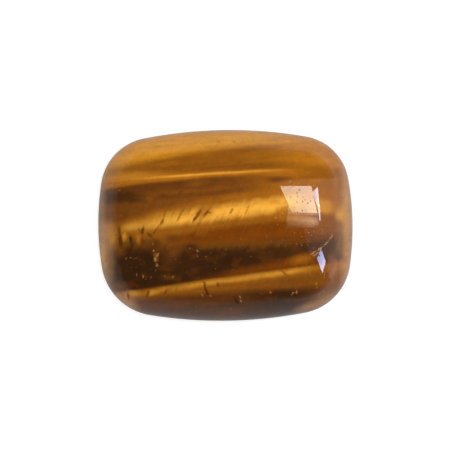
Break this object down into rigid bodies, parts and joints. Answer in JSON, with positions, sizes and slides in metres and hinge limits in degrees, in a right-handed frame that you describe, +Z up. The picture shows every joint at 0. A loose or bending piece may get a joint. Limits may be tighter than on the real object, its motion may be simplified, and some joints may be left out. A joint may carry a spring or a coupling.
{
  "type": "polished tiger's eye cabochon",
  "caption": "Cushion-shaped polished tiger's eye stone with a high dome and a flat back, for setting, gluing or display.",
  "frame": {"origin": "middle of the flat back, on the surface that the stone lies on", "axes": "+X along the stone's length, +Y across its width, +Z up through the top of the dome"},
  "size_m": [0.04, 0.03, 0.01],
  "materials": {
    "tigers_eye": "banded golden brown with a silky sheen, polished dome and edge, fine-ground matt back"
  },
  "bodies": {
    "root": {"stone": "tigers_eye"}
  },
  "joints": []
}
